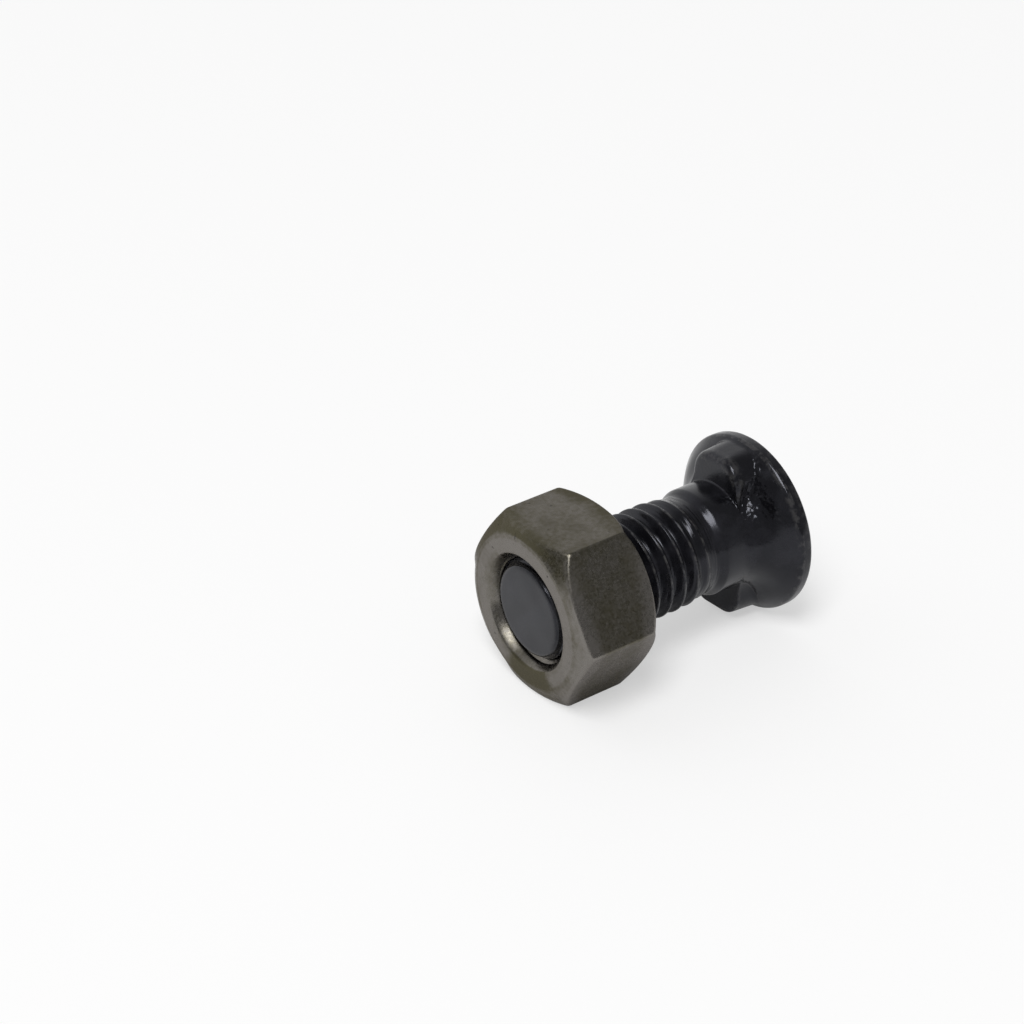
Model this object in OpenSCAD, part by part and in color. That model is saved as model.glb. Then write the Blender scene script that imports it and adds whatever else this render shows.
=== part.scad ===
// Plow bolt with its hex nut: a forged bolt with a flat countersunk head and two lugs
// under the head that keep it from turning, and a chamfered nut near the bolt's end.
// Units are millimetres. The bolt lies as it comes to rest on a level surface: on a flat
// of the nut and on the rim of the head. +X runs from the nut to the head, +Z is up.

/* [Bolt] */
// Overall length of the bolt, from its end to the flat face of the head
bolt_length = 30; // [24:0.5:60]
// Diameter over the crests of the thread
thread_d = 11.85; // [11.6:0.05:12]
// Distance from one thread crest to the next
thread_pitch = 1.75; // [1.25:0.25:2]
// Number of turns over which the thread fades out towards the neck
run_out_turns = 1.75; // [0.5:0.25:2]
// Diameter of the plain neck
neck_d = 11.9; // [11.8:0.1:13]
// Length of the neck, from the end of the thread to where its line meets the cone
neck_length = 4.2; // [3.8:0.1:12]
// Length of the shoulder that rises from the end of the thread to the neck
shoulder_length = 0.9; // [0.6:0.1:1.6]

/* [Head] */
// Diameter of the head
head_d = 19.8; // [18:0.1:24]
// Included angle of the cone under the head
cone_angle = 90; // [80:5:100]
// Width of the straight land round the rim of the head
land_width = 1.3; // [0.8:0.1:2.5]
// Radius of the edge between the land and the flat face
edge_radius = 0.5; // [0.1:0.1:0.7]
// Radius of the hollow that blends the neck into the cone
neck_fillet = 2.5; // [0.5:0.1:4]

/* [Lugs] */
// Width of each lug across its flat sides
lug_width = 7.2; // [5:0.1:9]
// Distance from the axis to the top of a lug
lug_reach = 9.15; // [8.5:0.05:9.6]
// Distance from the flat face of the head to the front of a lug
lug_length = 5.1; // [4:0.1:7]
// Radius of the two upper corners of a lug
lug_corner = 2.7; // [0.5:0.1:3]
// Radius of the hollow between the side of a lug and the neck
lug_fillet = 1.9; // [0.4:0.1:2]

/* [Nut] */
// Width of the nut across its flats
nut_across_flats = 18.8; // [17:0.1:22]
// Height of the nut along the bolt
nut_height = 10.2; // [6:0.1:11]
// Diameter of the flat ring on each face of the nut
nut_face_d = 16.8; // [15:0.1:18]
// Slope of the chamfer that rounds off the corners of the nut
nut_chamfer_angle = 34; // [15:1:40]
// Diameter of the countersink at each end of the nut's hole
nut_countersink_d = 13; // [12.4:0.1:14]
// Distance that the nut stands out past the end of the bolt
nut_stand_out = 0.45; // [0:0.05:2]
// Gap between the thread crests and the wall of the nut's hole
thread_clearance = 0.05; // [0.02:0.01:0.1]

/* [Hidden] */
$fn = 96;

// Number of steps in each arc of the bolt's section
arc_steps = 10;

// Depth to which the hollow at the foot of a lug runs below the surface that it meets
foot_sink = 0.15;

// Shares of the pitch in the common metric thread form
depth_to_minor = 0.5413;
depth_to_blank = 0.3248;

thread_r = thread_d / 2;
end_r = thread_r - depth_to_minor * thread_pitch;
blank_r = thread_r - depth_to_blank * thread_pitch;
neck_r = neck_d / 2;
head_r = head_d / 2;

// Stations along the bolt's axis, measured from its end
end_chamfer = thread_r - end_r;
cone_slope = cone_angle / 2;
cone_height = (head_r - neck_r) / tan(cone_slope);
land_start = bolt_length - land_width;
cone_start = land_start - cone_height;
thread_end = cone_start - neck_length;
run_out_start = thread_end - run_out_turns * thread_pitch;
neck_start = thread_end + shoulder_length;
lug_front = bolt_length - lug_length;

// The hollow takes up no more than this share of the straight neck and of the cone
hollow_share = 0.8;
fillet_room = hollow_share * min(cone_start - neck_start, cone_height / cos(cone_slope));
fillet_r = min(neck_fillet, fillet_room / tan(cone_slope / 2));
fillet_run = fillet_r * tan(cone_slope / 2);

// Radius of the bolt where the lugs begin, in the hollow or on either side of it
front_into_hollow = lug_front - (cone_start - fillet_run);
front_r = front_into_hollow <= 0 ? neck_r
    : front_into_hollow < fillet_r * sin(cone_slope)
        ? neck_r + fillet_r - sqrt(pow(fillet_r, 2) - pow(front_into_hollow, 2))
        : neck_r + (lug_front - cone_start) * tan(cone_slope);

nut_outer = -nut_stand_out;
nut_flat_r = nut_across_flats / 2;
nut_corner_r = nut_flat_r / cos(30);
nut_face_r = nut_face_d / 2;
nut_hole_r = thread_r + thread_clearance;
nut_sink_r = nut_countersink_d / 2;
nut_sink_depth = nut_sink_r - nut_hole_r;
nut_flat_chamfer = (nut_flat_r - nut_face_r) * tan(nut_chamfer_angle);

// At rest the bolt touches the ground at the outer end of a nut flat and at the rim
flat_contact = nut_outer + nut_flat_chamfer;
lie_angle = atan((head_r - nut_flat_r) / (land_start - flat_contact));
rest_height = nut_flat_r * cos(lie_angle) - flat_contact * sin(lie_angle);
low_x = nut_outer * cos(lie_angle) - nut_face_r * sin(abs(lie_angle));
high_x = (bolt_length - edge_radius) * cos(lie_angle) + (head_r - edge_radius) * sin(abs(lie_angle))
    + edge_radius;
middle_x = (low_x + high_x) / 2;

// Lays a shape that is drawn along +Z from the end of the bolt into its resting place
module lay_down() {
    translate([-middle_x, 0, rest_height])
        rotate([0, 90 - lie_angle, 0])
            children();
}

// Points along an arc, from one angle to another
function arc(centre, radius, from, to, steps) = [
    for (i = [0:steps])
        let (a = from + (to - from) * i / steps)
            centre + radius * [cos(a), sin(a)]
];

// Half section of the bolt: radius across, distance from the end upwards
module bolt_section() {
    hollow_centre = [neck_r + fillet_r, cone_start - fillet_run];
    edge_centre = [head_r - edge_radius, bolt_length - edge_radius];
    polygon(concat(
        [
            [0, 0],
            [end_r, 0],
            [thread_r, end_chamfer],
            [thread_r, run_out_start],
            [blank_r, thread_end],
            [neck_r, neck_start],
        ],
        arc(hollow_centre, fillet_r, 180, 180 - cone_slope, arc_steps),
        [[head_r, land_start]],
        arc(edge_centre, edge_radius, 0, 90, arc_steps),
        [[0, bolt_length]]
    ));
}

// One side of a lug seen along the bolt, pointing along +X, with the hollow at its foot
module lug_half_outline() {
    half_width = lug_width / 2;
    corner = [lug_reach - lug_corner, half_width - lug_corner];
    hollow_y = half_width + lug_fillet;
    hollow_x = sqrt(pow(front_r - foot_sink + lug_fillet, 2) - pow(hollow_y, 2));
    square([corner[0], half_width]);
    square([lug_reach, corner[1]]);
    translate(corner)
        circle(lug_corner);
    difference() {
        polygon([[0, 0], [hollow_x, 0], [hollow_x, hollow_y]]);
        translate([hollow_x, hollow_y])
            circle(lug_fillet);
    }
}

// Both lugs, run along the axis from their front faces into the cone of the head
module lugs() {
    translate([0, 0, lug_front])
        linear_extrude(land_start - lug_front)
            for (turn = [0, 180], side = [0, 1])
                rotate(turn)
                    mirror([0, side])
                        lug_half_outline();
}

// The forged bolt: end chamfer, thread, neck, cone, land and the two lugs
module plow_bolt() {
    color([0.09, 0.09, 0.10])
        lay_down() {
            rotate_extrude()
                bolt_section();
            lugs();
        }
}

// Half section of the round blank that chamfers both faces of the nut, with its hole
module nut_section() {
    corner_chamfer = (nut_corner_r - nut_face_r) * tan(nut_chamfer_angle);
    polygon([
        [nut_sink_r, 0],
        [nut_face_r, 0],
        [nut_corner_r, corner_chamfer],
        [nut_corner_r, nut_height - corner_chamfer],
        [nut_face_r, nut_height],
        [nut_sink_r, nut_height],
        [nut_hole_r, nut_height - nut_sink_depth],
        [nut_hole_r, nut_sink_depth],
    ]);
}

// The hex nut, with one flat facing straight down
module hex_nut() {
    color([0.36, 0.34, 0.30])
        lay_down()
            translate([0, 0, nut_outer])
                intersection() {
                    rotate(30)
                        cylinder(h = nut_height, r = nut_corner_r, $fn = 6);
                    rotate_extrude()
                        nut_section();
                }
}

plow_bolt();
hex_nut();
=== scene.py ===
"""A plow bolt with its hex nut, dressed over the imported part.

The bolt is one black, lightly oiled forging: a countersunk head with two arch-shaped lugs
under it, a plain neck and a rolled thread. The nut is plain steel with an oily film. Both
are drawn as closed skins round the bolt's own axis and then laid down where the part lies.
"""

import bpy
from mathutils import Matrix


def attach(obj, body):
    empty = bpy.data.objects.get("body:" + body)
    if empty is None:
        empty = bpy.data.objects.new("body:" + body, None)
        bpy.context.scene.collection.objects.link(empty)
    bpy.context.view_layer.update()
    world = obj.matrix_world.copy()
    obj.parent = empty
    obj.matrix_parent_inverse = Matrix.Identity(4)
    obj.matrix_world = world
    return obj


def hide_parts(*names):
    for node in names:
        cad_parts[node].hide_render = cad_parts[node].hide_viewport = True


bl_info = {
    "name": "Plow Bolt",
    "version": (1, 0, 0),
    "blender": (4, 5, 0),
    "location": "View3D > Sidebar > Plow Bolt",
    "description": "Builds a plow bolt, its hex nut and a plain studio round the packed part",
    "category": "Object",
}

import bmesh
import bpy
import numpy as np
from bpy.props import FloatProperty, FloatVectorProperty, PointerProperty
from bpy.types import Operator, Panel, PropertyGroup
from mathutils import Euler, Matrix, Vector

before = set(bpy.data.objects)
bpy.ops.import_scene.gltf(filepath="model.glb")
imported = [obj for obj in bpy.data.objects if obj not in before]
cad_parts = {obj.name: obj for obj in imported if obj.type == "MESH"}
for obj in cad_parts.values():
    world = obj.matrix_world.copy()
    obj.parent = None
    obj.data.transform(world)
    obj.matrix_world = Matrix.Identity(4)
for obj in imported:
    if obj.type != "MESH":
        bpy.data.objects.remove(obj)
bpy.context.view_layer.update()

MM = 0.001

# Points closer than this are joined into one, and slivers shorter than this are taken out
JOIN_DISTANCE = 0.0008 * MM
SLIVER_LENGTH = 0.0004 * MM

# Share of the pitch that a thread crest takes up, and the slope of its flanks
CREST_SHARE = 1 / 8
FLANK_SLOPE = np.sqrt(3)

# Rounding of the thread's crests and roots, as shares of its depth
CREST_ROUNDING = 0.1
ROOT_ROUNDING = 0.3

# How softly the chamfered end runs into the thread
END_ROUNDING = 0.06 * MM

# Slope of the cone under the head, and how far a step up the cone goes outwards
CONE_SLOPE = np.pi / 4
CONE_OUTWARD = np.sqrt(0.5)

# Angles from a lug between which the pressed-in part of the cone fades out
PRESSED_ANGLES = np.radians((46, 92))

# Keeps the outline of a lug finite at angles where another stretch of it is taken
LEAST_DIVISOR = 0.1

# Most of a lug's height that the rounding at its front edge, or the hollow below it, takes up
EDGE_SHARE = 0.45

# Most of a lug's length that the hollow where it meets the cone takes up
BLEND_SHARE = 0.4

# Heights of a lug at which its front edge is rubbed most, and at which its draft is full
RUBBED_HEIGHT = 1.5 * MM
DRAFT_HEIGHT = 2 * MM

# How bare the edges of the bolt are rubbed: its end, the lugs' fronts, the land and the rim
END_RUBBED = 0.2
LUG_RUBBED = 0.6
LAND_RUBBED = 0.8
RIM_RUBBED = 0.5

# Share of the thread's height from which its crests are rubbed bare
CREST_RUBBED_FROM = 0.9

# How pitted the forged skin is under the head and on its flat face
FORGED_PITTED = 0.05

# Share of the pits beside a lug that its rounded front edge has
LUG_EDGE_PITTED = 0.5

# Angles past the upper lug between which the deeper pits at its side begin, and fade out again
PITTED_FROM = np.radians((10, 24))
PITTED_TO = np.radians((46, 66))

# Share of the chamfer's slope that is left in the middle of a flat
DOME_SHARE = 0.62

# The corner of the nut, on the side that faces the camera, that is chamfered least
FULL_CORNER = np.radians(90)
FULL_CORNER_WIDTH = np.radians(16)
FULL_CORNER_SHARE = 0.6

# How clean the six flats of the nut are rubbed, partly real oil film and partly painted shade, from
# the top one round by the camera's side
FLAT_RUBBED_AND_SHADE = (0.42, 0.32, 0.5, 0.5, 0.3, 0.7)

# The flat on which shade is painted in, darker towards its lower corner: which flat, by how much, and
# where
PAINTED_SHADE_FLAT = 2
PAINTED_SHADE_MORE = 0.75
PAINTED_SHADE_ANGLES = np.radians((116, 148))

# How clean the nut's hole is rubbed, and the two edges of its ring as shares of the ring itself
BORE_RUBBED = 0.6
SINK_EDGE_SHARE = 0.7
RING_EDGE_SHARE = 0.5

# How clean the chamfer is rubbed at its cleanest, and how much the film takes off round it
CHAMFER_RUBBED = 0.8
CHAMFER_FILM = 1.3

# How much cleaner than the chamfer its edges towards the flats are rubbed
EDGE_CLEANER = 0.4

# The cleanest side of the chamfer, and the angles from it between which the film thickens
CLEAN_CHAMFER = np.radians(100)
CLEAN_CHAMFER_WIDTH = np.radians((30, 100))

# The brown stain at the bottom of the nut's face: its middle, where it fades out, its strength
STAIN_ANGLE = np.radians(172)
STAIN_EDGES = np.radians((18, 34))
STAIN_STRENGTH = 1.5

# The countersink of the nut: depth of its rounded mouth, slopes there and below, its whole depth
SINK_DEPTH = 0.5 * MM
SINK_SLOPES = (1.0, 0.52)
SINK_END = 1.2 * MM

# How softly the nut's thread runs into its bore, and into the countersink
BORE_ROUNDING = 0.08 * MM
SINK_ROUNDING = 0.1 * MM

# Length of the nut's hole, both ends together, whose rows stay level
LEVEL_ENDS = 1.2 * MM

# Places of the mesh rows within one turn of the thread, as shares of the pitch from the crest
CREST_ROWS = (0.03, 0.056, 0.075, 0.1, 0.2, 0.32, 0.4, 0.45)

# Places of the other rows, as shares of the stretch that they cross
END_FACE_ROWS = (0, 0.35, 0.7, 0.92, 0.985)
END_EDGE_ROWS = np.linspace(0.15, 1, 9) ** 2
NECK_ROWS = (0.3, 0.65, 1)
LUG_ROWS = (0.25, 0.5, 0.75)
HEAD_FACE_ROWS = (0.97, 0.9, 0.7, 0.4, 0)
RING_ROWS = (0.3, 0.55, 0.8)
CHAMFER_ROWS = (0.3, 0.6)
SIDE_ROWS = (0.2, 0.4, 0.6, 0.8)

# Places of the colour sockets on a mix node
MIX_COLOURS = (6, 7)
MIX_RESULT = 2

# Values between which most of a cloudy noise lies
NOISE_RANGE = (0.3, 0.7)

# The bolt's finish: sizes of its clouds, rubbed spots, pits, rolled lines and grain
OXIDE_CLOUD = 3.5 * MM
RUBBED_SPOTS = 0.8 * MM
PIT_SIZE = 0.42 * MM
LINE_SIZE = 0.21 * MM
OXIDE_GRAIN = 0.3 * MM

# How the rolled lines are drawn out round the shank, and where they fade out along it
LINE_STRETCH = (1, 0.06, 0.06)
LINES_FADE = (20 * MM, 22 * MM)

# Depths of the bolt's pits, lines and grain, and how much its roughness varies
PIT_DEPTH = 0.14 * MM
LINE_DEPTH = 0.08 * MM
OXIDE_GRAIN_DEPTH = 0.006 * MM
OXIDE_GLOSS_VARIES = 0.06

# Noise values between which the oxide turns pale and rubbed spots show, and their most
PALE_RANGE = (0.35, 0.72)
SPOT_RANGE = (0.42, 0.62)
SPOT_MOST = 0.25

# The nut's finish: sizes of its clouds, mottling, dark specks, streaks and grain
STEEL_CLOUD = 4.5 * MM
MOTTLE_SIZE = 0.5 * MM
SPECK_SIZE = 0.7 * MM
STREAK_SIZE = 0.5 * MM
STEEL_GRAIN = 0.25 * MM

# How much cleaner or dirtier the clouds and the mottling make it
CLOUD_CLEANER = (0.15, -0.3)
MOTTLE_CLEANER = (-0.22, 0.22)

# From all film to all steel, where dark specks show and how dark they are
CLEAN_RANGE = (-0.4, 1.1)
SPECK_RANGE = (0.68, 0.78)
SPECK_MOST = 0.5

# Clouds and grain together, and how far they take the nut's roughness down and up
DULL_RANGE = (0.7, 1.3)
STEEL_GLOSSIER = 0.1
STEEL_DULLER = 0.14

# How the streaks are drawn out along the nut, and the depths of streaks and grain
STREAK_STRETCH = (0.25, 1, 1)
STREAK_DEPTH = 0.002 * MM
STEEL_GRAIN_DEPTH = 0.003 * MM

# The studio, in metres: half the floor's width, the object's middle and the lamp overhead
FLOOR_HALF = 15
OBJECT_MIDDLE = (0, 0, 0.01)
LAMP_DIRECTION = (-0.4, -0.27, 0.87)
LAMP_DISTANCE = 2.4
LAMP_SIZE = (0.85, 1.33)

# How far towards the back the sky begins to brighten, and is brightest
SKY_EDGES = (0.2, 0.8)

# The camera's sensor in millimetres, and the nearest and furthest that it sees in metres
SENSOR_WIDTH = 36
CAMERA_REACH = (0.01, 40)


def length_property(name, description, default):
    """A size in metres that the sidebar shows as a length."""
    return FloatProperty(
        name=name, description=description, default=default * MM, min=0, unit="LENGTH", precision=5
    )


def colour_property(name, description, default):
    """A linear colour that the sidebar shows as a swatch."""
    return FloatVectorProperty(
        name=name, description=description, default=default, size=3, min=0, max=1, subtype="COLOR"
    )


def share_property(name, description, default):
    """A share from nothing to all."""
    return FloatProperty(
        name=name, description=description, default=default, min=0, max=1, subtype="FACTOR"
    )


def angle_property(name, description, default):
    """An angle, given here in degrees."""
    return FloatProperty(
        name=name, description=description, default=np.radians(default), subtype="ANGLE"
    )


def number_property(name, description, default):
    """A plain number."""
    return FloatProperty(name=name, description=description, default=default)


class PlowBoltSizes(PropertyGroup):
    length: length_property("Length", "From the bolt's end to the flat face of its head", 30)
    thread_diameter: length_property("Thread", "Diameter over the thread crests", 11.85)
    root_diameter: length_property("Thread root", "Diameter at the bottom of the thread", 9.74)
    thread_pitch: length_property("Pitch", "From one thread crest to the next", 1.75)
    crest_place: length_property("First crest", "From the end to the first crest on top", 1.63)
    end_diameter: length_property("End", "Diameter of the bolt's flat end", 9.15)
    end_round: length_property("End edge", "Length of the rounded edge of the end", 0.5)
    end_bulge: length_property("End bulge", "How far that edge rounds outwards", 0.5)
    thread_end: length_property("Thread end", "From the bolt's end to the end of the thread", 20.05)
    fade_start: length_property("Fade start", "From the end to where the thread begins to fade", 16.8)
    fade_end: length_property("Fade end", "From the end to where the thread is gone", 19.8)
    taper_start: length_property("Taper start", "From the end to where the bare shank tapers", 18.6)
    taper_end: length_property("Taper end", "From the end to the bottom of the groove", 20.5)
    shank_diameter: length_property("Shank", "Diameter of the shank where the thread ends", 11.44)
    groove_diameter: length_property("Groove", "Diameter of the groove before the neck", 10.84)
    shoulder_start: length_property("Shoulder", "From the end to where the neck begins to rise", 20.75)
    shoulder_end: length_property("Shoulder end", "From the end to where the neck is full", 21.95)
    neck_diameter: length_property("Neck", "Diameter of the plain neck", 11.9)
    neck_fillet: length_property("Neck hollow", "Radius of the hollow between neck and cone", 2.5)
    head_diameter: length_property("Head", "Diameter of the head", 19.8)
    land_width: length_property("Land", "Width of the straight land round the head", 1.3)
    rim_radius: length_property("Rim", "Radius between the land and the flat face", 0.5)
    land_radius: length_property("Land edge", "Radius between the cone and the land", 0.2)


class LugSizes(PropertyGroup):
    width: length_property("Width", "Width across the flat sides", 7.2)
    reach: length_property("Reach", "From the axis to the top of a lug at its front", 9.25)
    draft: length_property("Draft", "How much further a lug reaches where it meets the cone", 0.18)
    length: length_property("Length", "From the flat face of the head to a lug's front", 5.1)
    corner: length_property("Corner", "Radius of the two upper corners", 2.7)
    foot: length_property("Foot", "Radius of the hollow between a side and the neck", 5)
    foot_sink: length_property("Foot sink", "Depth to which that hollow runs below the neck", 0.15)
    front_edge: length_property("Front edge", "Radius of the edge round the front face", 0.85)
    front_foot: length_property("Front foot", "Radius of the hollow below the front face", 0.2)
    cone_blend: length_property("Cone blend", "Radius of the hollow between lug and cone", 0.3)
    lower_corner: length_property("Lower corner", "Radius of the lower lug's far corner", 1.7)
    lower_edge: length_property("Lower edge", "Radius of the edge round the lower front face", 0.22)
    lower_blend: length_property("Lower blend", "Radius of the hollow between lower lug and cone", 0.8)
    cone_sink: length_property("Cone sink", "Depth to which the cone is pressed in beside a lug", 0.95)
    turn: angle_property("Turn", "How far the lugs are turned about the bolt", -4.5)


class HexNutSizes(PropertyGroup):
    across_flats: length_property("Across flats", "Width across the flats", 18.8)
    height: length_property("Height", "Height along the bolt", 10.2)
    face_diameter: length_property("Face", "Diameter of the flat ring on each face", 16.8)
    chamfer_angle: angle_property("Chamfer", "Slope of the chamfer at the corners", 34)
    countersink: length_property("Countersink", "Diameter of the hole's countersink", 13.2)
    bore: length_property("Bore", "Diameter inside the crests of the nut's thread", 10.12)
    stand_out: length_property("Stands out", "How far the nut stands past the bolt's end", 0.45)
    corner_radius: length_property("Corner radius", "Radius of the six upright corners", 0.45)
    edge_radius: length_property("Edge radius", "Radius of the edges of the flat ring", 0.13)
    side_edge: length_property("Side edge", "Radius between the chamfer and the flats", 0.24)
    thread_gap: length_property("Thread gap", "Gap between the two threads", 0.07)


class FinishSettings(PropertyGroup):
    oxide: colour_property("Black oxide", "Colour of the blackened bolt", (0.004, 0.004, 0.005))
    oxide_pale: colour_property("Pale oxide", "Colour where the oxide is thin", (0.014, 0.014, 0.017))
    bare_steel: colour_property("Rubbed edge", "Colour of edges rubbed bare", (0.16, 0.155, 0.15))
    oxide_gloss: share_property("Bolt roughness", "Roughness of the blackened bolt", 0.21)
    nut_steel: colour_property("Nut steel", "Colour of the nut", (0.188, 0.176, 0.162))
    nut_brown: colour_property("Nut stain", "Colour of the oil film on the nut", (0.076, 0.069, 0.043))
    nut_gloss: share_property("Nut roughness", "Roughness of the nut", 0.3)


class StudioSettings(PropertyGroup):
    camera_place: FloatVectorProperty(
        name="Camera", description="Place of the camera", size=3, unit="LENGTH",
        default=(-154.185 * MM, -185.407 * MM, 166.58 * MM),
    )
    camera_turn: FloatVectorProperty(
        name="Camera turn", description="Rotation of the camera", size=3, subtype="EULER",
        default=(np.radians(57.957), np.radians(-0.644), np.radians(-36.115)),
    )
    lens: number_property("Lens", "Focal length in millimetres", 96.357)
    floor_colour: colour_property("Floor", "Colour of the floor", (0.97, 0.97, 0.97))
    floor_white: share_property("Floor white", "Share of plain white that the camera sees", 0.5)
    floor_mirrored: share_property("Floor mirrored", "Share of plain white that metal mirrors", 0.12)
    key_power: number_property("Key", "Power of the lamp overhead in watts", 39)
    sky_back: number_property("Sky behind", "Brightness behind the object", 0.95)
    sky_front: number_property("Sky in front", "Brightness on the camera's side", 0.28)


class PlowBoltSettings(PropertyGroup):
    bolt: PointerProperty(type=PlowBoltSizes)
    lug: PointerProperty(type=LugSizes)
    nut: PointerProperty(type=HexNutSizes)
    finish: PointerProperty(type=FinishSettings)
    studio: PointerProperty(type=StudioSettings)


def soft_max(a, b, roundness):
    """The larger of two values, with the corner between them rounded."""
    overlap = np.maximum(roundness - np.abs(a - b), 0) / roundness
    return np.maximum(a, b) + overlap**2 * roundness / 4


def soft_min(a, b, roundness):
    """The smaller of two values, with the corner between them rounded."""
    return -soft_max(-a, -b, roundness)


def ease(value, start, end):
    """Rises smoothly from 0 at the start to 1 at the end."""
    share = np.clip((value - start) / (end - start), 0, 1)
    return share * share * (3 - 2 * share)


def angle_between(a, b):
    """How far apart two angles are, the short way round."""
    return np.abs((a - b + np.pi) % (2 * np.pi) - np.pi)


def resting_matrix(settings):
    """Turns shapes drawn along the bolt's axis, from its end, into the place where it lies."""
    bolt = settings.bolt
    nut = settings.nut
    head_r = bolt.head_diameter / 2
    flat_r = nut.across_flats / 2
    face_r = nut.face_diameter / 2
    nut_touch = -nut.stand_out + (flat_r - face_r) * np.tan(nut.chamfer_angle)
    rim_touch = bolt.length - bolt.land_width
    lie = np.arctan((head_r - flat_r) / (rim_touch - nut_touch))
    height = flat_r * np.cos(lie) - nut_touch * np.sin(lie)
    low = -nut.stand_out * np.cos(lie) - face_r * np.sin(lie)
    rim_centre = bolt.length - bolt.rim_radius
    high = rim_centre * np.cos(lie) + (head_r - bolt.rim_radius) * np.sin(lie) + bolt.rim_radius
    middle = (low + high) / 2
    return Matrix.Translation((-middle, 0, height)) @ Matrix.Rotation(-lie, 4, "Y")


def thread_shape(along, turn_angle, bolt):
    """Height of the rolled thread there, from 0 at its root to 1 at its crest."""
    pitch = bolt.thread_pitch
    depth = (bolt.thread_diameter - bolt.root_diameter) / 2
    from_crest = (along - bolt.crest_place - pitch * turn_angle / (2 * np.pi)) % pitch
    from_crest = np.minimum(from_crest, pitch - from_crest)
    drop = (from_crest - pitch * CREST_SHARE / 2) * FLANK_SLOPE
    drop = soft_max(drop, 0, CREST_ROUNDING * depth)
    drop = soft_min(drop, depth, ROOT_ROUNDING * depth)
    return 1 - drop / depth


def thread_radius(along, turn_angle, bolt):
    """Radius of the threaded shank, fading out towards the neck and rounded off at the end."""
    shank = np.interp(
        along,
        (bolt.taper_start, bolt.taper_end),
        (bolt.shank_diameter / 2, bolt.groove_diameter / 2),
    )
    fade = ease(along, bolt.fade_start, bolt.fade_end)
    crest = bolt.thread_diameter / 2
    crest = crest + (shank - crest) * fade
    root = bolt.root_diameter / 2
    root = root + (shank - root) * fade
    radius = root + (crest - root) * thread_shape(along, turn_angle, bolt)
    left = 1 - np.clip(along / bolt.end_round, 0, 1)
    end_r = bolt.end_diameter / 2
    rounded = end_r + bolt.end_bulge * np.sqrt(1 - left**2)
    rounded = rounded + np.maximum(along - bolt.end_round, 0)
    return soft_min(np.maximum(radius, end_r), rounded, END_ROUNDING)


def turn_rows(pitch, first_crest):
    """Places of the rows within one turn, as rising shares of the pitch from its start."""
    offsets = np.array([0, *CREST_ROWS, 0.5, *(-np.array(CREST_ROWS))])
    return np.sort((first_crest / pitch + offsets) % 1)


def helix_rows(start, turns, pitch, turned, shares):
    """Places along the axis of rows that follow the thread, one array for each row.

    The rows climb one pitch while they go once round. A wedge of rows that open out at the
    start and one of rows that close up at the end make both ends of the band level."""
    rows = [start + pitch * share * turned for share in shares]
    for turn in range(turns - 1):
        rows += [start + pitch * (turned + turn + share) for share in shares]
    rows += [start + pitch * (turns - 1 + turned + share * (1 - turned)) for share in shares]
    return rows


def bend(start, corner, end, steps):
    """Points on a rounded corner between two straight stretches."""
    points = []
    for t in np.linspace(0, 1, steps):
        points.append([
            (1 - t) ** 2 * a + 2 * t * (1 - t) * b + t * t * c
            for a, b, c in zip(start, corner, end)
        ])
    return points


def lug_outline(angle, lug, corner, neck_r):
    """Distance from the axis to the outline of a lug, at an angle from the lug's middle."""
    half = lug.width / 2
    corner_x = lug.reach - corner
    corner_y = half - corner
    foot_y = half + lug.foot
    foot_x = np.sqrt((neck_r - lug.foot_sink + lug.foot) ** 2 - foot_y**2)
    cos = np.cos(angle)
    sin = np.sin(angle)

    def circle_cut(x, y, radius, side):
        across = y * cos - x * sin
        return x * cos + y * sin + side * np.sqrt(np.maximum(radius**2 - across**2, 0))

    return np.select(
        [
            angle <= np.arctan2(corner_y, lug.reach),
            angle <= np.arctan2(half, corner_x),
            angle <= np.arctan2(half, foot_x),
            angle <= np.arctan2(foot_y, foot_x),
        ],
        [
            lug.reach / np.maximum(cos, LEAST_DIVISOR),
            circle_cut(corner_x, corner_y, corner, 1),
            half / np.maximum(sin, LEAST_DIVISOR),
            circle_cut(foot_x, foot_y, lug.foot, -1),
        ],
        neck_r - lug.foot_sink,
    )


class Skin:
    """Rows of points round the axis, from which a closed skin is made.

    Each row holds places along the axis and radii, one of each for every turn angle, how far the edges
    there are rubbed bare, which on the nut's flats also carries painted shade, and how far the skin is
    pitted."""

    def __init__(self, angles):
        self.angles = angles
        self.rows = []

    def add(self, along, radius, rubbed_and_shade=0.0, pitted=0.0):
        shape = np.zeros_like(self.angles)
        self.rows.append((along + shape, radius + shape, rubbed_and_shade + shape, pitted + shape))

    def make(self, name, closed_ring):
        """The mesh of the skin; a closed ring joins the last row to the first."""
        along, radius, rubbed_and_shade, pitted = np.array(self.rows).transpose(1, 0, 2)
        points = np.stack(
            [along, -radius * np.sin(self.angles), radius * np.cos(self.angles)], axis=-1
        )
        row_count, column_count = along.shape
        faces = []
        for i in range(row_count if closed_ring else row_count - 1):
            here = i * column_count
            there = (i + 1) % row_count * column_count
            for j in range(column_count - 1):
                faces.append((here + j, here + j + 1, there + j + 1, there + j))
        mesh = bpy.data.meshes.new(name)
        mesh.from_pydata(points.reshape(-1, 3).tolist(), [], faces)
        for key, values in (("rubbed_and_shade", rubbed_and_shade), ("pitted", pitted)):
            attribute = mesh.attributes.new(key, "FLOAT", "POINT")
            attribute.data.foreach_set("value", values.astype(np.float32).ravel())
        work = bmesh.new()
        work.from_mesh(mesh)
        bmesh.ops.remove_doubles(work, verts=work.verts, dist=JOIN_DISTANCE)
        bmesh.ops.dissolve_degenerate(work, edges=work.edges, dist=SLIVER_LENGTH)
        for face in work.faces:
            face.smooth = True
        open_edges = sum(1 for edge in work.edges if not edge.is_manifold)
        work.to_mesh(mesh)
        work.free()
        if open_edges:
            raise RuntimeError(f"the skin of {name} has {open_edges} open edges")
        return mesh


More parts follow.
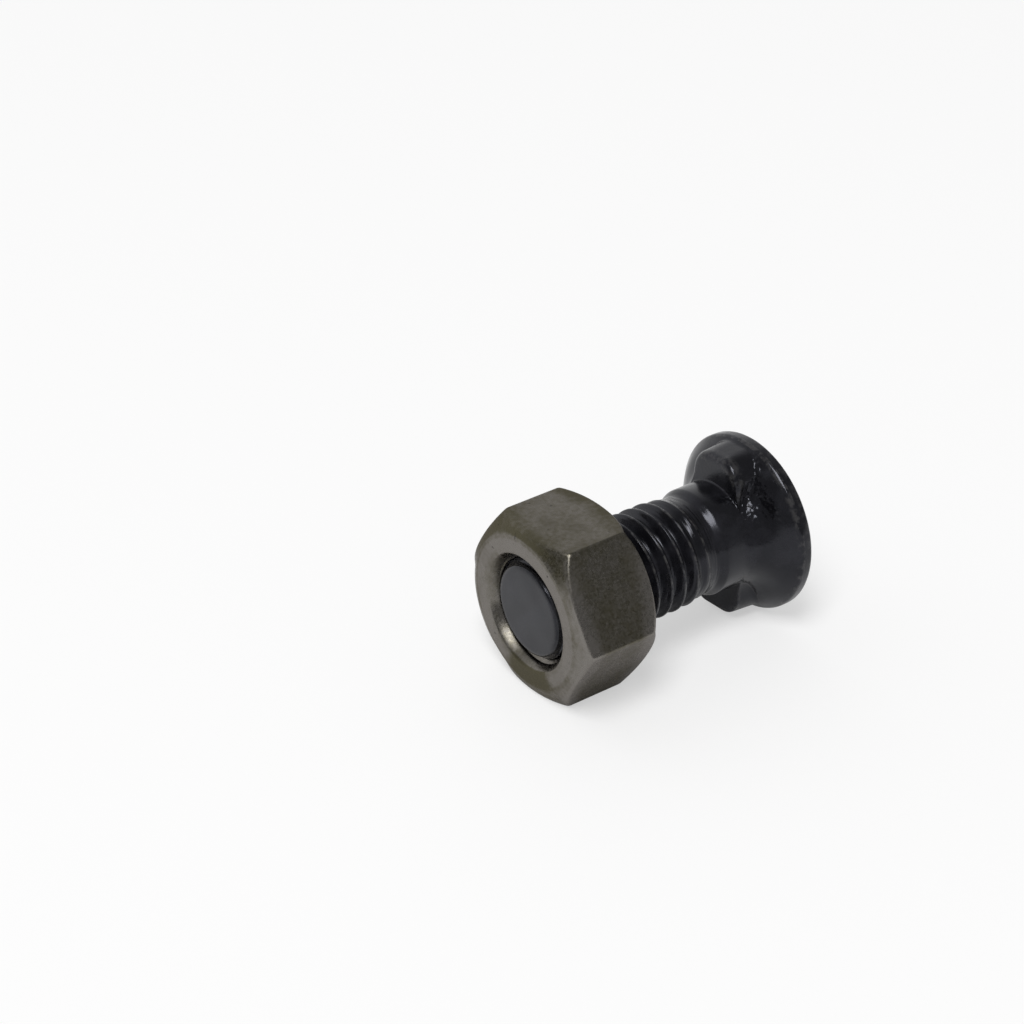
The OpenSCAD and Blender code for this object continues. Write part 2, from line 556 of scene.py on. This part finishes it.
def bolt_angles():
    """Turn angles of the bolt's columns, closer together round the two lugs."""
    half_zone = 50
    close_step = 1.25
    wide_step = 2.5
    beside = np.arange(-half_zone, half_zone, close_step)
    between = np.arange(half_zone, 180 - half_zone, wide_step)
    whole = np.concatenate([beside, between, 180 + beside, 180 + between])
    shifted = np.sort((whole + 180) % 360 - 180)
    return np.radians(np.append(shifted, 180))


def bolt_mesh(settings):
    """The bolt as one closed skin, from the flat end to the flat face of the head."""
    bolt = settings.bolt
    lug = settings.lug
    angles = bolt_angles()
    turned = (angles + np.pi) / (2 * np.pi)
    skin = Skin(angles)

    # The flat end
    end_r = bolt.end_diameter / 2
    for share in END_FACE_ROWS:
        skin.add(0, share * end_r)

    # The chamfered end and the rolled thread, whose rows follow its crests
    pitch = bolt.thread_pitch
    turns = int(bolt.thread_end / pitch)
    start = bolt.thread_end - turns * pitch
    for along in END_EDGE_ROWS * start:
        skin.add(along, thread_radius(along, angles, bolt), END_RUBBED)
    first_crest = bolt.crest_place - pitch / 2 - start
    for along in helix_rows(start, turns, pitch, turned, turn_rows(pitch, first_crest)):
        crest = thread_shape(along, angles, bolt)
        skin.add(along, thread_radius(along, angles, bolt), ease(crest, CREST_RUBBED_FROM, 1))

    # The groove, the rolled shoulder and the plain neck
    neck_r = bolt.neck_diameter / 2
    groove_r = bolt.groove_diameter / 2
    head_r = bolt.head_diameter / 2
    land_start = bolt.length - bolt.land_width
    cone_start = land_start - (head_r - neck_r)
    hollow_start = cone_start - bolt.neck_fillet * np.tan(CONE_SLOPE / 2)
    for along in np.linspace(bolt.thread_end, bolt.shoulder_start, num=4)[:-1]:
        skin.add(along, thread_radius(along, angles, bolt))
    for along in np.linspace(bolt.shoulder_start, bolt.shoulder_end, num=14):
        rise = ease(along, bolt.shoulder_start, bolt.shoulder_end)
        skin.add(along, groove_r + (neck_r - groove_r) * rise)
    for share in NECK_ROWS:
        skin.add(bolt.shoulder_end + share * (hollow_start - bolt.shoulder_end), neck_r)

    # The hollow and the cone as curves, which are pressed in a little beside each lug
    cone_join_r = neck_r + bolt.neck_fillet * (1 - np.cos(CONE_SLOPE))
    past_lug = (angles - lug.turn + np.pi) % (2 * np.pi) - np.pi
    from_upper_lug = np.abs(past_lug)
    from_lug = np.minimum(from_upper_lug, np.pi - from_upper_lug)
    pressed = lug.cone_sink * (1 - ease(from_lug, *PRESSED_ANGLES))
    pitted = ease(past_lug, *PITTED_FROM) - ease(past_lug, *PITTED_TO)
    pitted = FORGED_PITTED + (1 - FORGED_PITTED) * pitted

    def hollow_radius(along):
        past = np.maximum(along - hollow_start - pressed, 0)
        return neck_r + bolt.neck_fillet - np.sqrt(bolt.neck_fillet**2 - past**2)

    def under_head(radius):
        """Where a radius is reached along the axis, in the hollow or on the cone."""
        inward = np.clip(neck_r + bolt.neck_fillet - radius, 0, bolt.neck_fillet)
        in_hollow = hollow_start + np.sqrt(np.maximum(bolt.neck_fillet**2 - inward**2, 0))
        on_cone = cone_start + radius - neck_r
        share = 1 - ease(radius, cone_join_r, lug.reach)
        return np.where(radius < cone_join_r, in_hollow, on_cone) + pressed * share

    # The lower lug has a sharper front edge and a fuller far corner than the upper one
    lower = from_upper_lug > np.pi / 2
    corner = np.where(lower & (past_lug < 0), lug.lower_corner, lug.corner)
    edge_radius = np.where(lower, lug.lower_edge, lug.front_edge)
    blend_radius = np.where(lower, lug.lower_blend, lug.cone_blend)

    # Up the hollow to the front of the lugs
    lug_front = bolt.length - lug.length
    front_r = hollow_radius(lug_front)
    lug_r = np.maximum(lug_outline(from_lug, lug, corner, front_r.min()), front_r)
    lug_height = lug_r - front_r
    front_foot = np.minimum(lug.front_foot, EDGE_SHARE * lug_height)
    front_edge = np.minimum(edge_radius, EDGE_SHARE * lug_height)
    for share in np.linspace(0, 1, num=10)[1:-1]:
        along = hollow_start + share * (lug_front - front_foot - hollow_start)
        skin.add(along, hollow_radius(along), pitted=share * pitted)

    # The front face of a lug, between its hollow foot and its rounded edge
    foot_along = lug_front - front_foot
    foot_r = hollow_radius(foot_along)
    for along, radius in bend(
        (foot_along, foot_r), (lug_front, front_r), (lug_front, front_r + front_foot), steps=6
    ):
        skin.add(along, radius, pitted=pitted)
    for share in LUG_ROWS:
        face = lug_height - front_foot - front_edge
        skin.add(lug_front, front_r + front_foot + share * face, pitted=FORGED_PITTED)
    edge_rubbed = LUG_RUBBED * ease(lug_height, 0, RUBBED_HEIGHT)
    for along, radius in bend(
        (lug_front, lug_r - front_edge), (lug_front, lug_r), (lug_front + front_edge, lug_r), steps=9
    ):
        skin.add(along, radius, edge_rubbed, LUG_EDGE_PITTED * pitted)

    # Along the lug to the cone, with a hollow where they meet
    back_r = lug_r + lug.draft * ease(lug_height, 0, DRAFT_HEIGHT)
    meets_cone = under_head(back_r)
    cone_end_r = head_r - bolt.land_radius
    room = np.maximum(meets_cone - lug_front - front_edge, 0)
    blend = np.minimum(blend_radius, BLEND_SHARE * room)
    blend = np.minimum(blend, cone_end_r - back_r)
    for share in LUG_ROWS:
        run = meets_cone - blend - lug_front - front_edge
        along = lug_front + front_edge + share * run
        skin.add(along, lug_r + share * (back_r - lug_r), pitted=FORGED_PITTED)
    blend_r = back_r + blend * CONE_OUTWARD
    for along, radius in bend(
        (meets_cone - blend, back_r), (meets_cone, back_r), (under_head(blend_r), blend_r), steps=6
    ):
        skin.add(along, radius, pitted=pitted)

    # The cone, the land, the rim and the flat face
    for share in np.linspace(0, 1, num=14)[1:-1]:
        radius = blend_r + share * (cone_end_r - blend_r)
        skin.add(under_head(radius), radius, pitted=pitted * (1 - share**2))
    for along, radius in bend(
        (land_start - bolt.land_radius, cone_end_r),
        (land_start, head_r),
        (land_start + bolt.land_radius, head_r),
        steps=5,
    ):
        skin.add(along, radius, LAND_RUBBED)
    rim = bolt.rim_radius
    skin.add(bolt.length - 2 * rim, head_r)
    for along, radius in bend(
        (bolt.length - rim, head_r), (bolt.length, head_r), (bolt.length, head_r - rim), steps=7
    ):
        skin.add(along, radius, RIM_RUBBED)
    for share in HEAD_FACE_ROWS:
        skin.add(bolt.length, share * (head_r - rim), pitted=FORGED_PITTED)
    return skin.make("plow_bolt_skin", closed_ring=False)


def hex_radius(angles, nut):
    """Distance from the axis to the side of the hex, with its six corners rounded."""
    flat_r = nut.across_flats / 2
    sixth = np.pi / 3
    from_flat = np.abs((angles + sixth / 2) % sixth - sixth / 2)
    from_corner = sixth / 2 - from_flat
    centre = (flat_r - nut.corner_radius) / np.cos(sixth / 2)
    turn_in = nut.corner_radius * np.sin(sixth / 2)
    rounded = from_corner < np.arctan2(turn_in, centre + nut.corner_radius * np.cos(sixth / 2))
    across = np.minimum(centre * np.sin(from_corner), nut.corner_radius)
    round_r = centre * np.cos(from_corner) + np.sqrt(nut.corner_radius**2 - across**2)
    return np.where(rounded, round_r, flat_r / np.cos(from_flat))


def nut_angles():
    """Turn angles of the nut's columns, closer together at its corners."""
    half_side = np.array((
        0, 2.5, 5, 7.5, 10, 12.5, 15, 17.5, 20, 22.5, 25, 27, 28.2, 28.8, 29.1, 29.4, 29.7
    ))
    one_side = np.concatenate([-half_side[:0:-1], half_side, [30]])
    whole = np.concatenate([one_side + 60 * side for side in range(6)])
    shifted = np.sort((whole + 180) % 360 - 180)
    return np.radians(np.append(shifted, 180))


def nut_mesh(settings):
    """The nut as one closed skin round its threaded hole."""
    bolt = settings.bolt
    nut = settings.nut
    angles = nut_angles()
    turned = (angles + np.pi) / (2 * np.pi)
    skin = Skin(angles)
    outer = -nut.stand_out
    inner = outer + nut.height
    face_r = nut.face_diameter / 2
    flat_r = nut.across_flats / 2
    sink_r = nut.countersink / 2
    edge = nut.edge_radius
    side_r = hex_radius(angles, nut)

    # The chamfer is domed: it cuts deeper at the corners than in the middle of a flat
    past_flat = (side_r - flat_r) / (flat_r / np.cos(np.pi / 6) - flat_r)
    side_edge = nut.side_edge * (1 + past_flat)
    slope = np.tan(nut.chamfer_angle) * (DOME_SHARE + (1 - DOME_SHARE) * past_flat)
    full_corner = np.exp(-((angle_between(angles, FULL_CORNER) / FULL_CORNER_WIDTH) ** 2))
    outer_slope = slope * (1 - FULL_CORNER_SHARE * full_corner)

    # How clean each part is rubbed: an oily film stays on the chamfers and on some flats, and the
    # flats also carry painted shade
    flat_number = np.round(angles / (np.pi / 3)).astype(int) % 6
    # Painted shade: one flat is made darker towards its lower corner, where it mirrors the shadowed
    # floor
    painted_shade = ease(angles, *PAINTED_SHADE_ANGLES) * (flat_number == PAINTED_SHADE_FLAT)
    side_rubbed_and_shade = np.array(FLAT_RUBBED_AND_SHADE)[flat_number] - PAINTED_SHADE_MORE * painted_shade
    stain = 1 - ease(angle_between(angles, STAIN_ANGLE), *STAIN_EDGES)
    face_rubbed = 1 - STAIN_STRENGTH * stain
    from_clean = angle_between(angles, CLEAN_CHAMFER)
    chamfer_rubbed = CHAMFER_RUBBED - CHAMFER_FILM * ease(from_clean, *CLEAN_CHAMFER_WIDTH)

    def face_rows(place, inward, face_slope):
        """Rows from the countersink over the flat ring and the chamfer to the side."""
        chamfer = (side_r - face_r) * face_slope
        along_share = face_slope / np.hypot(face_slope, 1)
        out_share = 1 / np.hypot(face_slope, 1)
        rows = []
        for along, radius in bend(
            (place + inward * edge, sink_r - edge), (place, sink_r), (place, sink_r + edge), steps=5
        ):
            rows.append((along, radius, SINK_EDGE_SHARE * face_rubbed))
        for share in RING_ROWS:
            rows.append((place, sink_r + share * (face_r - sink_r), face_rubbed))
        for along, radius in bend(
            (place, face_r - edge),
            (place, face_r),
            (place + inward * edge * along_share, face_r + edge * out_share),
            steps=4,
        ):
            rows.append((along, radius, RING_EDGE_SHARE * face_rubbed))
        for share in CHAMFER_ROWS:
            radius = face_r + share * (side_r - face_r)
            rows.append((place + inward * share * chamfer, radius, chamfer_rubbed))
        for along, radius in bend(
            (place + inward * (chamfer - side_edge * along_share), side_r - side_edge * out_share),
            (place + inward * chamfer, side_r),
            (place + inward * (chamfer + side_edge), side_r),
            steps=6,
        ):
            rows.append((along, radius, chamfer_rubbed + EDGE_CLEANER))
        return rows

    def bore_radius(along):
        """Radius of the threaded hole, which keeps a gap to the bolt's thread."""
        crest_r = bolt.thread_diameter / 2
        depth = crest_r - bolt.root_diameter / 2
        threaded = bolt.root_diameter / 2 + depth * thread_shape(along, angles, bolt)
        threaded = soft_max(threaded + nut.thread_gap, nut.bore / 2, BORE_ROUNDING)
        from_face = np.minimum(along - outer, inner - along)
        in_mouth = np.minimum(from_face, SINK_DEPTH)
        below_mouth = np.clip(from_face - SINK_DEPTH, 0, SINK_END - SINK_DEPTH)
        mouth_slope, lower_slope = SINK_SLOPES
        rounding = (mouth_slope - lower_slope) * in_mouth**2 / (2 * SINK_DEPTH)
        countersunk = sink_r - mouth_slope * in_mouth + rounding - lower_slope * below_mouth
        countersunk = countersunk - np.maximum(from_face - SINK_END, 0)
        return soft_max(threaded, countersunk, SINK_ROUNDING)

    for along, radius, rubbed_and_shade in face_rows(outer, 1, outer_slope):
        skin.add(along, radius, rubbed_and_shade)
    side_start = outer + (side_r - face_r) * outer_slope + side_edge
    side_end = inner - (side_r - face_r) * slope - side_edge
    for share in SIDE_ROWS:
        skin.add(side_start + share * (side_end - side_start), side_r, side_rubbed_and_shade)
    for along, radius, rubbed_and_shade in reversed(face_rows(inner, -1, slope)):
        skin.add(along, radius, rubbed_and_shade)

    # The threaded hole, from the inner face back to the outer one
    pitch = bolt.thread_pitch
    turns = int((nut.height - LEVEL_ENDS) / pitch)
    start = (outer + inner - turns * pitch) / 2
    first_crest = bolt.crest_place - pitch / 2 - start
    depths = np.linspace(2 * edge, start - outer, num=5)
    level_rows = [np.full_like(angles, depth) for depth in depths]
    rows = [outer + depth for depth in level_rows]
    rows += helix_rows(start, turns, pitch, turned, turn_rows(pitch, first_crest))
    rows += [inner - depth for depth in reversed(level_rows)]
    for along in reversed(rows):
        skin.add(along, bore_radius(along), BORE_RUBBED)
    return skin.make("hex_nut_skin", closed_ring=True)


class Finish:
    """A node material in the making, with short ways to add and join its nodes."""

    def __init__(self, name):
        self.material = bpy.data.materials.new(name)
        self.material.use_nodes = True
        self.tree = self.material.node_tree
        self.shader = self.tree.nodes["Principled BSDF"]
        self.place = self.add("ShaderNodeTexCoord").outputs["Object"]

    def add(self, kind, **settings):
        node = self.tree.nodes.new(kind)
        for key, value in settings.items():
            setattr(node, key, value)
        return node

    def join(self, source, target):
        self.tree.links.new(source, target)

    def along(self):
        """Distance along the bolt's axis from its end."""
        node = self.add("ShaderNodeSeparateXYZ")
        self.join(self.place, node.inputs["Vector"])
        return node.outputs["X"]

    def stretched(self, scale):
        """The object's own place, drawn out along its axes."""
        node = self.add("ShaderNodeMapping")
        self.join(self.place, node.inputs["Vector"])
        node.inputs["Scale"].default_value = scale
        return node.outputs["Vector"]

    def noise(self, size, detail=3.0, rough=0.5, vector=None):
        """Cloudy noise whose patches are about that many metres across."""
        node = self.add("ShaderNodeTexNoise")
        node.inputs["Scale"].default_value = 1 / size
        node.inputs["Detail"].default_value = detail
        node.inputs["Roughness"].default_value = rough
        self.join(vector or self.place, node.inputs["Vector"])
        return node.outputs["Fac"]

    def spread(self, source, low, high, out_low=0.0, out_high=1.0):
        """Stretches a range of values to another one, smoothly."""
        node = self.add("ShaderNodeMapRange", interpolation_type="SMOOTHSTEP")
        self.join(source, node.inputs["Value"])
        for socket, value in (
            ("From Min", low), ("From Max", high), ("To Min", out_low), ("To Max", out_high)
        ):
            node.inputs[socket].default_value = value
        return node.outputs["Result"]

    def combine(self, operation, a, b):
        node = self.add("ShaderNodeMath", operation=operation)
        self.join(a, node.inputs[0])
        self.join(b, node.inputs[1])
        return node.outputs["Value"]

    def times(self, a, b):
        return self.combine("MULTIPLY", a, b)

    def plus(self, a, b):
        return self.combine("ADD", a, b)

    def tint(self, share, low, high):
        """Mixes two colours, each a plain colour or another node's."""
        node = self.add("ShaderNodeMix", data_type="RGBA")
        self.join(share, node.inputs["Factor"])
        for socket, colour in zip(MIX_COLOURS, (low, high)):
            if isinstance(colour, bpy.types.NodeSocket):
                self.join(colour, node.inputs[socket])
            else:
                node.inputs[socket].default_value = (*colour, 1)
        return node.outputs[MIX_RESULT]

    def share_of(self, key):
        """A share that the skin itself carries, such as how far its edges are rubbed bare."""
        return self.add("ShaderNodeAttribute", attribute_name=key).outputs["Fac"]

    def bumps(self, height, depth, strength=1.0, under=None):
        node = self.add("ShaderNodeBump")
        node.inputs["Strength"].default_value = strength
        node.inputs["Distance"].default_value = depth
        self.join(height, node.inputs["Height"])
        if under:
            self.join(under, node.inputs["Normal"])
        return node.outputs["Normal"]


def black_oxide(finish):
    """Blackened steel under a thin film of oil, with a fine forged grain."""
    made = Finish("black_oxide")
    shader = made.shader
    cloud = made.noise(OXIDE_CLOUD, detail=5, rough=0.6)
    pits = made.times(made.noise(PIT_SIZE, detail=0), made.share_of("pitted"))
    rolled = made.spread(made.along(), *LINES_FADE, out_low=1.0, out_high=0.0)
    lines = made.noise(LINE_SIZE, detail=0, vector=made.stretched(LINE_STRETCH))
    lines = made.times(lines, rolled)
    grain = made.noise(OXIDE_GRAIN, detail=3, rough=0.65)
    colour = made.tint(made.spread(cloud, *PALE_RANGE), finish.oxide, finish.oxide_pale)
    spots = made.spread(made.noise(RUBBED_SPOTS), *SPOT_RANGE, out_high=SPOT_MOST)
    bare = made.times(made.share_of("rubbed_and_shade"), spots)
    colour = made.tint(bare, colour, finish.bare_steel)
    made.join(colour, shader.inputs["Base Color"])
    glossiest = finish.oxide_gloss - OXIDE_GLOSS_VARIES
    dullest = finish.oxide_gloss + OXIDE_GLOSS_VARIES
    dullness = made.spread(cloud, *NOISE_RANGE, glossiest, dullest)
    made.join(dullness, shader.inputs["Roughness"])
    normal = made.bumps(grain, OXIDE_GRAIN_DEPTH)
    normal = made.bumps(lines, LINE_DEPTH, under=normal)
    made.join(made.bumps(pits, PIT_DEPTH, under=normal), shader.inputs["Normal"])
    shader.inputs["Metallic"].default_value = 0.0
    shader.inputs["IOR"].default_value = 1.365
    shader.inputs["Specular Tint"].default_value = (0.86, 0.88, 1, 1)
    shader.inputs["Coat Weight"].default_value = 0.05
    shader.inputs["Coat Roughness"].default_value = 0.12
    return made.material


def oiled_steel(finish):
    """Plain steel with a brownish film of oil, tumbled dull and rubbed at its corners, with painted
    shade on some of its flats.
    """
    made = Finish("oiled_steel")
    shader = made.shader
    cloud = made.noise(STEEL_CLOUD, detail=5, rough=0.6)
    grain = made.noise(STEEL_GRAIN, detail=3, rough=0.6)
    streaks = made.noise(STREAK_SIZE, detail=2, vector=made.stretched(STREAK_STRETCH))
    mottle = made.noise(MOTTLE_SIZE, detail=4, rough=0.7)
    specks = made.noise(SPECK_SIZE, detail=2, rough=0.5)
    clouded = made.spread(cloud, *NOISE_RANGE, *CLOUD_CLEANER)
    # The skin's rubbed share, which also holds painted shade on some flats, picks between film and
    # steel
    clean_and_shade = made.plus(made.share_of("rubbed_and_shade"), clouded)
    clean_and_shade = made.plus(clean_and_shade, made.spread(mottle, *NOISE_RANGE, *MOTTLE_CLEANER))
    colour = made.tint(made.spread(clean_and_shade, *CLEAN_RANGE), finish.nut_brown, finish.nut_steel)
    dark = made.spread(specks, *SPECK_RANGE, out_high=SPECK_MOST)
    colour = made.tint(dark, colour, finish.oxide)
    made.join(colour, shader.inputs["Base Color"])
    glossiest = finish.nut_gloss - STEEL_GLOSSIER
    dullest = finish.nut_gloss + STEEL_DULLER
    dullness = made.spread(made.plus(cloud, grain), *DULL_RANGE, glossiest, dullest)
    made.join(dullness, shader.inputs["Roughness"])
    normal = made.bumps(streaks, STREAK_DEPTH, strength=0.5)
    normal = made.bumps(grain, STEEL_GRAIN_DEPTH, strength=0.6, under=normal)
    made.join(normal, shader.inputs["Normal"])
    shader.inputs["Metallic"].default_value = 1.0
    shader.inputs["Specular Tint"].default_value = (0.58, 0.56, 0.55, 1)
    shader.inputs["Coat Weight"].default_value = 0.15
    shader.inputs["Coat Roughness"].default_value = 0.2
    return made.material


def place_piece(name, mesh, material, settings, body, node):
    """Puts a finished skin where the part lies, in place of its plain solid."""
    piece = bpy.data.objects.new(name, mesh)
    bpy.context.scene.collection.objects.link(piece)
    piece.matrix_world = resting_matrix(settings)
    mesh.materials.append(material)
    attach(piece, body)
    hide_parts(node)


class PLOWBOLT_OT_bolt(Operator):
    """Build the blackened bolt with its lugs and rolled thread"""

    bl_idname = "plow_bolt.bolt"
    bl_label = "Build Bolt"

    def execute(self, context):
        settings = context.scene.plow_bolt
        material = black_oxide(settings.finish)
        mesh = bolt_mesh(settings)
        place_piece("bolt_forging", mesh, material, settings, "bolt", "plow_bolt")
        return {"FINISHED"}


class PLOWBOLT_OT_nut(Operator):
    """Build the oily hex nut with its threaded hole"""

    bl_idname = "plow_bolt.nut"
    bl_label = "Build Nut"

    def execute(self, context):
        settings = context.scene.plow_bolt
        material = oiled_steel(settings.finish)
        mesh = nut_mesh(settings)
        place_piece("nut_steel", mesh, material, settings, "nut", "hex_nut")
        return {"FINISHED"}


def build_floor(studio):
    """A white floor that keeps the object's shadow."""
    mesh = bpy.data.meshes.new("floor")
    corners = [(x * FLOOR_HALF, y * FLOOR_HALF, 0) for x, y in ((-1, -1), (1, -1), (1, 1), (-1, 1))]
    mesh.from_pydata(corners, [], [(0, 1, 2, 3)])
    floor = bpy.data.objects.new("floor", mesh)
    bpy.context.scene.collection.objects.link(floor)
    material = bpy.data.materials.new("floor_white")
    material.use_nodes = True
    tree = material.node_tree
    tree.nodes.clear()
    output = tree.nodes.new("ShaderNodeOutputMaterial")
    matt = tree.nodes.new("ShaderNodeBsdfDiffuse")
    matt.inputs["Color"].default_value = (*studio.floor_colour, 1)
    white = tree.nodes.new("ShaderNodeEmission")
    mix = tree.nodes.new("ShaderNodeMixShader")
    rays = tree.nodes.new("ShaderNodeLightPath")
    shares = []
    for name, white_share in (
        ("Is Camera Ray", studio.floor_white),
        ("Is Glossy Ray", studio.floor_mirrored),
        ("Is Transmission Ray", studio.floor_mirrored),
    ):
        share = tree.nodes.new("ShaderNodeMath")
        share.operation = "MULTIPLY"
        share.inputs[1].default_value = white_share
        tree.links.new(rays.outputs[name], share.inputs[0])
        shares.append(share.outputs["Value"])
    seen = shares[0]
    for share in shares[1:]:
        either = tree.nodes.new("ShaderNodeMath")
        either.operation = "MAXIMUM"
        tree.links.new(seen, either.inputs[0])
        tree.links.new(share, either.inputs[1])
        seen = either.outputs["Value"]
    tree.links.new(seen, mix.inputs["Fac"])
    tree.links.new(matt.outputs["BSDF"], mix.inputs[1])
    tree.links.new(white.outputs["Emission"], mix.inputs[2])
    tree.links.new(mix.outputs["Shader"], output.inputs["Surface"])
    mesh.materials.append(material)


def build_sky(studio):
    """Soft light from all round, brighter behind the object than on the camera's side."""
    world = bpy.data.worlds.new("studio_sky")
    bpy.context.scene.world = world
    world.use_nodes = True
    tree = world.node_tree
    sky = tree.nodes["Background"]
    place = tree.nodes.new("ShaderNodeTexCoord")
    split = tree.nodes.new("ShaderNodeSeparateXYZ")
    level = tree.nodes.new("ShaderNodeMapRange")
    level.interpolation_type = "SMOOTHSTEP"
    level.inputs["From Min"].default_value = SKY_EDGES[0]
    level.inputs["From Max"].default_value = SKY_EDGES[1]
    level.inputs["To Min"].default_value = studio.sky_front
    level.inputs["To Max"].default_value = studio.sky_back
    tree.links.new(place.outputs["Generated"], split.inputs["Vector"])
    tree.links.new(split.outputs["Y"], level.inputs["Value"])
    tree.links.new(level.outputs["Result"], sky.inputs["Strength"])
    sky.inputs["Color"].default_value = (1, 1, 1, 1)


def build_lamp(studio):
    """A soft lamp overhead that looks at the middle of the object."""
    data = bpy.data.lights.new("overhead_lamp", "AREA")
    data.shape = "RECTANGLE"
    data.size, data.size_y = LAMP_SIZE
    data.energy = studio.key_power
    lamp = bpy.data.objects.new("overhead_lamp", data)
    bpy.context.scene.collection.objects.link(lamp)
    back = Vector(LAMP_DIRECTION).normalized()
    lamp.location = Vector(OBJECT_MIDDLE) + back * LAMP_DISTANCE
    lamp.rotation_euler = back.to_track_quat("Z", "Y").to_euler()


def build_camera(studio):
    """The camera where the photograph was taken from."""
    data = bpy.data.cameras.new("camera")
    data.sensor_width = SENSOR_WIDTH
    data.lens = studio.lens
    data.clip_start, data.clip_end = CAMERA_REACH
    camera = bpy.data.objects.new("camera", data)
    bpy.context.scene.collection.objects.link(camera)
    camera.location = studio.camera_place
    camera.rotation_euler = Euler(studio.camera_turn)
    bpy.context.scene.camera = camera


class PLOWBOLT_OT_studio(Operator):
    """Build the white floor, the sky, the soft lamp and the camera"""

    bl_idname = "plow_bolt.studio"
    bl_label = "Build Studio"

    def execute(self, context):
        studio = context.scene.plow_bolt.studio
        build_floor(studio)
        build_sky(studio)
        build_lamp(studio)
        build_camera(studio)
        context.scene.view_settings.view_transform = "Standard"
        return {"FINISHED"}


class PLOWBOLT_PT_sidebar(Panel):
    """Sizes, finishes and build buttons of the plow bolt"""

    bl_idname = "PLOWBOLT_PT_sidebar"
    bl_label = "Plow Bolt"
    bl_space_type = "VIEW_3D"
    bl_region_type = "UI"
    bl_category = "Plow Bolt"

    def draw(self, context):
        settings = context.scene.plow_bolt
        for title, group in (
            ("Bolt", settings.bolt),
            ("Lugs", settings.lug),
            ("Nut", settings.nut),
            ("Finishes", settings.finish),
            ("Studio", settings.studio),
        ):
            box = self.layout.box()
            box.label(text=title)
            for key in group.__annotations__:
                box.prop(group, key)
        for operator in (PLOWBOLT_OT_bolt, PLOWBOLT_OT_nut, PLOWBOLT_OT_studio):
            self.layout.operator(operator.bl_idname)


CLASSES = (
    PlowBoltSizes,
    LugSizes,
    HexNutSizes,
    FinishSettings,
    StudioSettings,
    PlowBoltSettings,
    PLOWBOLT_OT_bolt,
    PLOWBOLT_OT_nut,
    PLOWBOLT_OT_studio,
    PLOWBOLT_PT_sidebar,
)


def register():
    for item in CLASSES:
        bpy.utils.register_class(item)
    bpy.types.Scene.plow_bolt = PointerProperty(type=PlowBoltSettings)


def unregister():
    del bpy.types.Scene.plow_bolt
    for item in reversed(CLASSES):
        bpy.utils.unregister_class(item)


def main():
    register()
    bpy.ops.plow_bolt.bolt()
    bpy.ops.plow_bolt.nut()
    bpy.ops.plow_bolt.studio()


if __name__ == "__main__":
    main()
